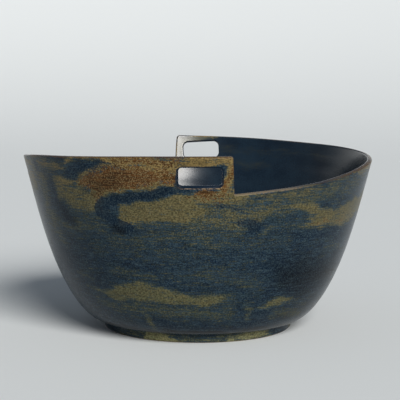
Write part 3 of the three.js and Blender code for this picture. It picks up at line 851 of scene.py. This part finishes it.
# inside, only haze: the glaze pooled darker and smoother there
INSIDE = {
    "rim haze": (0.50, 4.0, [(-128, 16, 2), (-60, 22, 2), (16, 24, 2)]),
    "back haze": (0.26, 5.0, [(200, 16, 3), (260, 17, 4), (316, 18, 3)]),
    "low rim haze": (0.45, 3.5, [(22, 3, 2.5), (80, 7, 3), (150, 12, 3)]),
    "left haze": (0.45, 3.5, [(340, 4, 2.5), (410, 8, 3), (470, 12, 3)]),
    "bar": (0.95, 3.0, [(303, 25, 1.5), (314, 24.5, 3.5), (327, 22, 5), (330, 14, 5), (329, 6, 5)]),
    "smudge": (0.34, 5.0, [(262, 8, 2), (276, 9, 4.0), (290, 8, 2)]),
    "smudge two": (0.30, 4.0, [(230, -14, 2), (258, -16, 4), (300, -14, 2)]),
    "smudge three": (0.30, 4.0, [(100, -30, 3), (140, -34, 5), (180, -30, 3)]),
    "smudge four": (0.30, 4.0, [(400, -24, 3), (450, -28, 5), (500, -26, 3)]),
}

ROUND = 2 * math.pi * ACROSS


def eased(path, n=5):
    """The stroke's path with its bends and its width made smooth."""
    p = np.array(path, float)
    p = np.concatenate([[2 * p[0] - p[1]], p, [2 * p[-1] - p[-2]]])
    u = np.arange(n)[:, None] / n
    out = []
    for a, b, c, d in zip(p[:-3], p[1:-2], p[2:-1], p[3:]):
        out.append(0.5 * (2 * b + (c - a) * u + (2 * a - 5 * b + 4 * c - d) * u ** 2
                          + (3 * b - a - 3 * c + d) * u ** 3))
    out = np.concatenate(out + [p[-2:-1]])
    out[:, 2] = np.maximum(out[:, 2], 0.15)
    return out


def wandered(points, seed, reach=1.0):
    """Points moved a little by slow waves, so that no edge runs smooth."""
    r = np.random.default_rng(seed)
    q = points.copy()
    turn = points[:, 0] / ACROSS
    for k, up, size in ((9, 0.10, 1.1), (17, 0.19, 0.8), (31, 0.33, 0.55), (57, 0.60, 0.35)):
        q[:, 1] += reach * size * np.sin(k * turn + up * points[:, 1] + r.uniform(0, 6.3))
        q[:, 0] += reach * 1.9 * size * np.sin((k - 2) * turn - 1.7 * up * points[:, 1] + r.uniform(0, 6.3))
    return q


def strokes(points, named, softer=1.0):
    """How strongly a set of strokes covers each point (x, y): the strongest stroke counts."""
    cover = np.zeros(len(points))
    for strength, soft, path in named.values():
        path, soft = eased(path), soft * softer
        middle = path[:, 0].mean()
        x = (points[:, 0] - middle + ROUND / 2) % ROUND - ROUND / 2 + middle
        low, high = path[:, :2].min(0) - path[:, 2].max() - soft, path[:, :2].max(0) + path[:, 2].max() + soft
        near = np.nonzero((x > low[0]) & (x < high[0]) & (points[:, 1] > low[1]) & (points[:, 1] < high[1]))[0]
        if not len(near):
            continue
        p = np.stack([x[near], points[near, 1]], 1)
        depth = np.full(len(near), -1e9)
        for a, b in zip(path[:-1], path[1:]):
            ab = b[:2] - a[:2]
            u = np.clip(((p - a[:2]) @ ab) / (ab @ ab), 0, 1)
            depth = np.maximum(depth, a[2] + (b[2] - a[2]) * u - np.linalg.norm(p - a[:2] - u[:, None] * ab, axis=1))
        cover[near] = np.maximum(cover[near], strength * smoothstep(depth, -soft, soft))
    return cover


def wisps(seed, count, low, high, strength, thin, longest):
    """Short brushed streaks that run round the bowl, placed by a seeded generator."""
    r = np.random.default_rng(seed)
    found = {}
    for i in range(count):
        x, y = r.uniform(0, ROUND), r.uniform(low, high)
        length, w, tilt = r.uniform(5, longest), r.uniform(*thin), r.normal(0, 0.03)
        found[i] = (r.uniform(*strength), w * 1.6, [(x - length, y - tilt * length, w * 0.3), (x, y + r.normal(0, 0.3), w),
                                                   (x + length, y + tilt * length, w * 0.3)])
    return found


sheet_xy = np.stack([data[:, 0] * ACROSS, data[:, 1]], 1)
inner = data[:, 2]
outside = 1 - smoothstep(inner, 0.62, 0.98)
moved = wandered(sheet_xy, 3)
gold = np.maximum(0.90 * strokes(moved, GOLD, 1.35), strokes(moved, wisps(7, 110, -74, 20, (0.2, 0.42), (0.5, 1.3), 15)))
gold = gold * outside + (1 - outside) * strokes(moved, INSIDE)
rust = strokes(moved, RUST, 1.5) * outside
# the dark glaze, together with painted shade: the strokes named shade and the dark marks beside the front slot
dark = np.maximum(strokes(wandered(sheet_xy, 5, 0.5), DARK, 1.25),
                  strokes(moved, wisps(19, 80, -30, 20, (0.25, 0.5), (0.4, 0.9), 9))) * outside
dark = np.maximum(dark, strokes(sheet_xy, SHADE_BY_SLOT) * outside)
# thick glaze and painted shade (under the belly, round the lower wall), with the darker tone over the front slot
deep_and_shade = np.maximum(strokes(moved, DEEP_AND_SHADE), strokes(sheet_xy, OVER_SLOT)) * outside


# ---- the mesh ----------------------------------------------------------------------------------

bare = np.where(inner < -0.5, smoothstep(-co[:, 2] / MM, -1.5, -0.45), 0.0)
fields = dict(inner=inner, edge=data[:, 3], cut=data[:, 4], gold=gold, rust=rust, dark=dark, deep_and_shade=deep_and_shade, bare=bare)


def build_mesh(name):
    mesh = bpy.data.meshes.new(name)
    mesh.vertices.add(len(co))
    mesh.vertices.foreach_set("co", co.astype(np.float32).ravel())
    mesh.loops.add(len(faces) * 3)
    mesh.loops.foreach_set("vertex_index", faces.astype(np.int32).ravel())
    mesh.polygons.add(len(faces))
    mesh.polygons.foreach_set("loop_start", np.arange(0, len(faces) * 3, 3, dtype=np.int32))
    mesh.polygons.foreach_set("use_smooth", np.ones(len(faces), bool))
    within = (inner[faces].min(1) > 0.999).astype(np.int32)
    within[(data[faces, 3].max(1) < 1.25) & (inner[faces].max(1) > 0.2)] = 2
    mesh.polygons.foreach_set("material_index", within)
    mesh.update(calc_edges=True)
    for key, values in fields.items():
        mesh.attributes.new(key, "FLOAT", "POINT").data.foreach_set("value", values.astype(np.float32))
    return mesh


def lay_out(mesh):
    """A map on which every part of the surface has its own place: the wall's two sides as half bands, the discs beside them."""
    in_scale = 0.78
    low_out, high_out = s_foot - along[outer_rows] + 200, v[:, 1].max() + 200
    low_in = float(length_at(t_floor)) + 200
    half_width = quarter
    gap = 3.0
    tall_out, tall_in = high_out - low_out, (high_out - low_in) * in_scale
    disc = FOOT_OUTER + 1.5
    total = max(2 * (tall_out + tall_in) + 5 * gap, 2 * half_width + 3 * gap + 2 * disc)
    corner = {("out", 0.0): gap, ("out", 2 * quarter): 2 * gap + tall_out,
              ("in", 0.0): 3 * gap + 2 * tall_out, ("in", 2 * quarter): 4 * gap + 2 * tall_out + tall_in}
    disc_at = {"under": (2 * half_width + 2 * gap + disc, gap + disc),
               "floor": (2 * half_width + 2 * gap + disc, 3 * gap + 3 * disc)}
    found = []
    for tri, (island, a, b) in zip(surface.faces, surface.uv):
        kind, centre = island
        if centre is None:
            x0, y0 = disc_at[kind]
            p = co[tri] / MM
            turn = 1 if kind == "floor" else -1
            scale = 1.0 if kind == "under" else disc / edge_r
            uv = np.stack([x0 + p[:, :, 0] * scale, y0 + turn * p[:, :, 1] * scale], 2)
        else:
            k = in_scale if kind == "in" else 1.0
            low = low_in if kind == "in" else low_out
            x = a * k * (1 if kind == "out" else -1)
            uv = np.stack([gap + half_width * k + x, corner[island] + (b - low) * k], 2)
        found.append(uv.reshape(-1, 2))
    layer = mesh.uv_layers.new(name="OFBake", do_init=False)
    layer.uv.foreach_set("vector", (np.concatenate(found) / total).astype(np.float32).ravel())


# ---- glaze ---------------------------------------------------------------------------------------

class Nodes:
    """Short names for the shader nodes that the glazes are made of."""

    def __init__(self, name):
        self.material = bpy.data.materials.new(name)
        self.material.use_nodes = True
        self.tree = self.material.node_tree
        self.shader = self.tree.nodes["Principled BSDF"]
        self.coords = self.tree.nodes.new("ShaderNodeTexCoord").outputs["Object"]

    def put(self, socket, value):
        if isinstance(value, bpy.types.NodeSocket):
            self.tree.links.new(value, socket)
        else:
            socket.default_value = value

    def field(self, name):
        n = self.tree.nodes.new("ShaderNodeAttribute")
        n.attribute_name = name
        return n.outputs["Fac"]

    def maths(self, operation, a, b=0.0, clamp=False):
        n = self.tree.nodes.new("ShaderNodeMath")
        n.operation, n.use_clamp = operation, clamp
        self.put(n.inputs[0], a)
        self.put(n.inputs[1], b)
        return n.outputs[0]

    def rise(self, x, low, high, to_low=0.0, to_high=1.0, smooth=True):
        n = self.tree.nodes.new("ShaderNodeMapRange")
        n.interpolation_type = "SMOOTHSTEP" if smooth else "LINEAR"
        n.clamp = True
        for key, value in (("Value", x), ("From Min", low), ("From Max", high), ("To Min", to_low), ("To Max", to_high)):
            self.put(n.inputs[key], value)
        return n.outputs["Result"]

    def noise(self, size, flatten=1.0, detail=2.0, rough=0.5, shift=0.0):
        """Noise whose features are about size mm across, and flatten times less high; spread over 0 to 1."""
        place = self.tree.nodes.new("ShaderNodeMapping")
        place.inputs["Scale"].default_value = (1000 / size, 1000 / size, 1000 / size * flatten)
        place.inputs["Location"].default_value = (shift, shift * 0.7, shift * 1.3)
        self.tree.links.new(self.coords, place.inputs["Vector"])
        n = self.tree.nodes.new("ShaderNodeTexNoise")
        self.tree.links.new(place.outputs[0], n.inputs["Vector"])
        n.inputs["Scale"].default_value = 1.0
        n.inputs["Detail"].default_value = detail
        n.inputs["Roughness"].default_value = rough
        return self.rise(n.outputs["Fac"], 0.27, 0.73, smooth=False)

    def total(self, *parts):
        """Weighted sum of (weight, value) pairs."""
        found = None
        for weight, value in parts:
            value = self.maths("MULTIPLY", value, weight)
            found = value if found is None else self.maths("ADD", found, value)
        return found

    def blend(self, share, a, b):
        n = self.tree.nodes.new("ShaderNodeMix")
        n.data_type = "RGBA"
        self.put(n.inputs[0], share)
        for socket, value in ((n.inputs[6], a), (n.inputs[7], b)):
            self.put(socket, (*value, 1) if isinstance(value, tuple) else value)
        return n.outputs[2]

    def scaled(self, colour, factor):
        n = self.tree.nodes.new("ShaderNodeVectorMath")
        n.operation = "SCALE"
        self.put(n.inputs[0], colour)
        self.put(n.inputs["Scale"], factor)
        return n.outputs[0]


NAVY, NAVY_PALE = (0.0008, 0.0080, 0.0218), (0.0222, 0.0374, 0.0470)
TEAL, SEDGE = (0.0190, 0.0330, 0.0320), (0.0290, 0.0400, 0.0330)
GOLD_GREEN, GOLD_LOW, GOLD_RIM = (0.0640, 0.0660, 0.0340), (0.0860, 0.0700, 0.0300), (0.1420, 0.1000, 0.0370)
RUST_DEEP, RUST_PALE = (0.0430, 0.0190, 0.0050), (0.1140, 0.0505, 0.0130)
FLECK = (0.2000, 0.1500, 0.0720)
INK = (0.0012, 0.0085, 0.0200)
BREAK = (0.0800, 0.0400, 0.0160)
CLAY = (0.1900, 0.1250, 0.0800)


def outside_glaze(name, rough_from, specular):
    g = Nodes(name)
    streaks = g.noise(9.0, 11.0, 3.0, 0.6)
    threads = g.noise(17.0, 27.0, 2.0, 0.5, 3.1)
    hairs = g.noise(6.0, 10.0, 0.0, 0.5, 13.7)
    grain = g.noise(0.74, 1.15, 0.0, 0.5, 7.7)
    grit = g.noise(0.95, 1.45, 0.0, 0.5, 19.3)
    flecks = g.noise(0.60, 1.0, 0.0, 0.5, 31.0)
    clouds = g.noise(7.0, 1.8, 3.0, 0.55, 11.0)
    edge, cut = g.field("edge"), g.field("cut")
    parts = g.tree.nodes.new("ShaderNodeSeparateXYZ")
    g.put(parts.inputs[0], g.coords)
    height = parts.outputs[2]

    # navy ground, greener where it runs thin
    ground = g.blend(g.rise(g.total((0.50, grain), (0.25, threads), (0.25, hairs)), 0.27, 0.79, smooth=False), NAVY, NAVY_PALE)
    ground = g.blend(g.rise(clouds, 0.40, 1.0, 0.0, 0.30), ground, TEAL)

    # gold, brushed on in streaks and broken up by the grain; a thin film of it on the navy looks green
    cover = g.field("gold")
    broken = g.total((0.15, streaks), (0.28, threads), (0.24, hairs), (0.26, grain), (0.07, clouds))
    broken = g.rise(broken, 0.26, 0.74, 0.10, 0.98, smooth=False)
    gold_share = g.rise(g.maths("SUBTRACT", cover, broken), -0.30, 0.26)
    gold_colour = g.blend(g.total((0.5, hairs), (0.5, g.rise(height, 0.030, 0.065))), GOLD_GREEN, GOLD_LOW)
    gold_colour = g.blend(g.rise(height, 0.082, 0.100), gold_colour, GOLD_RIM)
    # painted light: below 5 to 10 mm the gold is up to twice as bright, for light bounced up onto the foot
    gold_colour = g.scaled(gold_colour, g.rise(height, 0.005, 0.010, 2.0, 1.0))
    gold_colour = g.scaled(gold_colour, g.rise(grit, 0.0, 1.0, 0.48, 1.52, smooth=False))
    colour = g.blend(g.rise(gold_share, 0.0, 0.55), ground, SEDGE)
    colour = g.scaled(colour, g.rise(g.total((0.36, flecks), (0.36, grit), (0.28, hairs)), 0.12, 0.88, 0.42, 1.58, smooth=False))
    thick_gold = g.maths("MULTIPLY", g.rise(gold_share, 0.22, 1.0, 0.0, 0.92), g.rise(cover, 0.32, 0.80, 0.16, 1.0))
    colour = g.blend(thick_gold, colour, gold_colour)

    # rust in the thick of the gold, scored by the brush and with pale flecks
    broken_rust = g.total((0.24, threads), (0.46, grit), (0.30, clouds))
    broken_rust = g.rise(broken_rust, 0.22, 0.78, 0.05, 0.84, smooth=False)
    rust_share = g.rise(g.maths("SUBTRACT", g.field("rust"), broken_rust), -0.18, 0.18)
    rust_share = g.maths("MULTIPLY", rust_share, g.rise(g.field("rust"), 0.02, 0.22))
    rust_colour = g.blend(g.total((0.62, grain), (0.38, clouds)), RUST_DEEP, RUST_PALE)
    rust_colour = g.scaled(rust_colour, g.rise(g.total((0.6, threads), (0.4, hairs)), 0.28, 0.72, 0.48, 1.18))
    colour = g.blend(g.maths("MULTIPLY", rust_share, 0.94), colour, rust_colour)
    fleck_share = g.maths("MULTIPLY", g.rise(flecks, 0.58, 0.86), g.total((0.64, rust_share), (0.24, gold_share)), True)
    colour = g.blend(fleck_share, colour, FLECK)

    # the dark glaze lies over both; its mask also carries painted shade, the strokes named shade and the marks along
    # the front slot
    broken_dark = g.total((0.20, streaks), (0.22, threads), (0.34, grit), (0.24, grain))
    broken_dark = g.rise(broken_dark, 0.22, 0.78, 0.22, 0.72, smooth=False)
    dark_share = g.rise(g.maths("SUBTRACT", g.field("dark"), broken_dark), -0.16, 0.16)
    dark_colour = g.blend(g.rise(grain, 0.35, 1.0, smooth=False), INK, NAVY_PALE)
    colour = g.blend(g.maths("MULTIPLY", dark_share, 0.88), colour, dark_colour)
    # darker where the glaze lies thick, and painted shade: the shadow line under the belly, the band round the lower
    # wall
    deep_and_shade = g.maths("MULTIPLY", g.field("deep_and_shade"), g.rise(g.total((0.6, threads), (0.4, grain)), 0.30, 0.62, 1.0, 0.65))
    colour = g.scaled(colour, g.rise(deep_and_shade, 0.0, 1.0, 1.0, 0.20, smooth=False))

    # thin and brown over every edge, with a painted highlight on the rim's lip where it runs lowest; dark round the
    # slots' cut faces, partly pooled glaze and partly painted shade, with a painted highlight, a pale line, below them
    thin = g.rise(g.maths("ADD", edge, g.total((0.5, grit), (0.4, clouds))), 0.55, 1.15, 1.0, 0.0)
    colour = g.blend(g.maths("MULTIPLY", thin, g.rise(height, 0.087, 0.096, 0.08, 0.62)), colour, BREAK)
    # painted highlight, partly thin glaze: a pale line along the rim's lip where it runs lowest, by the steps
    pale = g.maths("MULTIPLY", thin, g.rise(height, 0.0878, 0.0900, 0.62, 0.0))
    colour = g.blend(pale, colour, (0.2000, 0.1520, 0.0980))
    # partly pooled glaze, partly painted shade: dark on and round the slots' cut faces
    pooled_and_shade = g.rise(g.maths("ADD", cut, g.total((0.25, grain), (0.30, clouds))), 0.98, 1.35, 1.0, 0.0)
    colour = g.blend(g.maths("MULTIPLY", pooled_and_shade, 0.95), colour, INK)
    # painted highlight: a pale line along the front slot's lower edge
    line = g.maths("MULTIPLY", g.rise(cut, 0.85, 1.05), g.rise(cut, 1.25, 1.6, 1.0, 0.0))
    below = g.rise(height, 0.0896, 0.0904, 1.0, 0.0)
    line = g.maths("MULTIPLY", g.maths("MULTIPLY", line, below), g.rise(grit, 0.30, 0.75, 0.10, 0.66))
    colour = g.blend(line, colour, (0.36, 0.25, 0.16))

    # the standing ring is wiped bare
    bare = g.rise(g.maths("ADD", g.field("bare"), g.total((0.3, clouds), (-0.3, grit))), 0.35, 0.65)
    clay = g.blend(grit, CLAY, (0.26, 0.18, 0.12))
    colour = g.blend(bare, colour, clay)
    g.put(g.shader.inputs["Base Color"], colour)

    rough = g.total((0.05, grain), (0.05, clouds), (0.07, gold_share), (0.05, rust_share))
    rough = g.maths("ADD", rough, rough_from)
    g.put(g.shader.inputs["Roughness"], g.rise(bare, 0.0, 1.0, rough, 0.8, smooth=False))
    g.shader.inputs["Specular IOR Level"].default_value = specular

    bump = g.tree.nodes.new("ShaderNodeBump")
    bump.inputs["Strength"].default_value = 0.35
    bump.inputs["Distance"].default_value = 0.00006
    g.put(bump.inputs["Height"], g.total((0.6, grit), (0.5, streaks), (0.4, gold_share), (0.5, bare)))
    g.put(g.shader.inputs["Normal"], bump.outputs["Normal"])
    return g.material


def inside_glaze():
    g = Nodes("glaze_inside")
    streaks = g.noise(12.0, 9.0, 3.0, 0.6, 4.0)
    grain = g.noise(0.8, 1.0, 1.0, 0.5, 2.7)
    clouds = g.noise(17.0, 1.3, 3.0, 0.55, 8.0)
    ground = g.blend(g.total((0.30, grain), (0.70, clouds)), (0.0004, 0.0045, 0.0125), (0.0085, 0.0215, 0.0360))
    broken = g.total((0.4, streaks), (0.3, grain), (0.3, clouds))
    share = g.rise(g.maths("SUBTRACT", g.field("gold"), g.rise(broken, 0.0, 1.0, 0.25, 0.80, smooth=False)), -0.40, 0.30)
    colour = g.blend(g.maths("MULTIPLY", share, 0.7), ground, GOLD_GREEN)
    thin = g.rise(g.maths("ADD", g.field("edge"), g.total((0.5, grain), (0.5, clouds))), 0.7, 1.5, 1.0, 0.0)
    thin = g.maths("MULTIPLY", thin, g.rise(g.field("cut"), 1.2, 2.6, 0.0, 0.15))
    colour = g.blend(thin, colour, BREAK)
    g.put(g.shader.inputs["Base Color"], colour)
    g.put(g.shader.inputs["Roughness"], g.maths("ADD", g.total((0.02, grain), (0.03, clouds), (0.03, share)), 0.195))
    g.shader.inputs["Specular IOR Level"].default_value = 0.48
    bump = g.tree.nodes.new("ShaderNodeBump")
    bump.inputs["Strength"].default_value = 0.12
    bump.inputs["Distance"].default_value = 0.00006
    g.put(bump.inputs["Height"], g.total((0.04, grain), (0.8, clouds)))
    g.put(g.shader.inputs["Normal"], bump.outputs["Normal"])
    return g.material


mesh = build_mesh("bowl_glazed")
mesh.materials.append(outside_glaze("glaze_outside", 0.20, 0.1))
mesh.materials.append(inside_glaze())
mesh.materials.append(outside_glaze("glaze_lip", 0.10, 0.6))
lay_out(mesh)
mesh.validate()
bowl = bpy.data.objects.new("bowl_glazed", mesh)
bpy.context.scene.collection.objects.link(bowl)

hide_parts("bowl")
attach(bowl, "root")

# ---- stage, light and camera -----------------------------------------------------------------------

def stage():
    """A plain pale floor that rises gently a good way off, all round."""
    radii = np.concatenate([[0.0, 0.4, 0.9, 1.3], np.linspace(1.5, 7.0, 45)])
    slope = 21 * DEG * smoothstep(radii, 1.2, 4.2)
    heights = np.concatenate([[0], np.cumsum(np.diff(radii) * np.tan((slope[1:] + slope[:-1]) / 2))])
    n = 128
    verts, polys = [(0.0, 0.0, 0.0)], []
    for r, z in zip(radii[1:], heights[1:]):
        for j in range(n):
            a = 2 * math.pi * j / n
            verts.append((r * math.cos(a), r * math.sin(a), z))
    for j in range(n):
        polys.append((0, 1 + j, 1 + (j + 1) % n))
    for k in range(len(radii) - 2):
        for j in range(n):
            a, b = 1 + k * n + j, 1 + k * n + (j + 1) % n
            polys.append((a, a + n, b + n, b))
    m = bpy.data.meshes.new("floor")
    m.from_pydata(verts, [], polys)
    m.polygons.foreach_set("use_smooth", np.ones(len(m.polygons), bool))
    o = bpy.data.objects.new("floor", m)
    bpy.context.scene.collection.objects.link(o)
    pale = bpy.data.materials.new("floor_pale")
    pale.use_nodes = True
    p = pale.node_tree.nodes["Principled BSDF"]
    p.inputs["Base Color"].default_value = (0.70, 0.73, 0.74, 1)
    p.inputs["Roughness"].default_value = 0.9
    p.inputs["Specular IOR Level"].default_value = 0.1
    m.materials.append(pale)


stage()

# the key is broad and low, to the right of the camera; the sky fills the rest
key = bpy.data.lights.new("key", "SUN")
key.energy = 4.1
key.angle = 30 * DEG
key.color = (1.0, 0.975, 0.94)
key_light = bpy.data.objects.new("key", key)
a, e = 23 * DEG, 31 * DEG
towards = Vector((math.sin(a) * math.cos(e), -math.cos(a) * math.cos(e), math.sin(e)))
key_light.rotation_euler = (-towards).to_track_quat("-Z", "Y").to_euler()
key_light.location = towards * 2
bpy.context.scene.collection.objects.link(key_light)

world = bpy.data.worlds.new("studio")
bpy.context.scene.world = world
world.use_nodes = True
world.node_tree.nodes["Background"].inputs[0].default_value = (0.80, 0.92, 1.08, 1)
world.node_tree.nodes["Background"].inputs[1].default_value = 0.16

bpy.context.scene.view_settings.view_transform = "Standard"

camera = bpy.data.cameras.new("camera")
camera.sensor_width = 36.0
camera.lens = 1230.7 * 36.0 / 400.0
camera.clip_start, camera.clip_end = 0.02, 30.0
cam = bpy.data.objects.new("camera", camera)
yaw, pitch, roll = 0.087 * DEG, 5.81 * DEG, 0.216 * DEG
forward = Vector((math.sin(yaw) * math.cos(pitch), math.cos(yaw) * math.cos(pitch), -math.sin(pitch)))
right = Vector((math.cos(yaw), -math.sin(yaw), 0))
up = right.cross(forward)
right, up = math.cos(roll) * right + math.sin(roll) * up, -math.sin(roll) * right + math.cos(roll) * up
cam.matrix_world = Matrix.Translation((0, -0.720, 0.14679)) @ Matrix((right, up, -forward)).transposed().to_4x4()
bpy.context.scene.collection.objects.link(cam)
bpy.context.scene.camera = cam
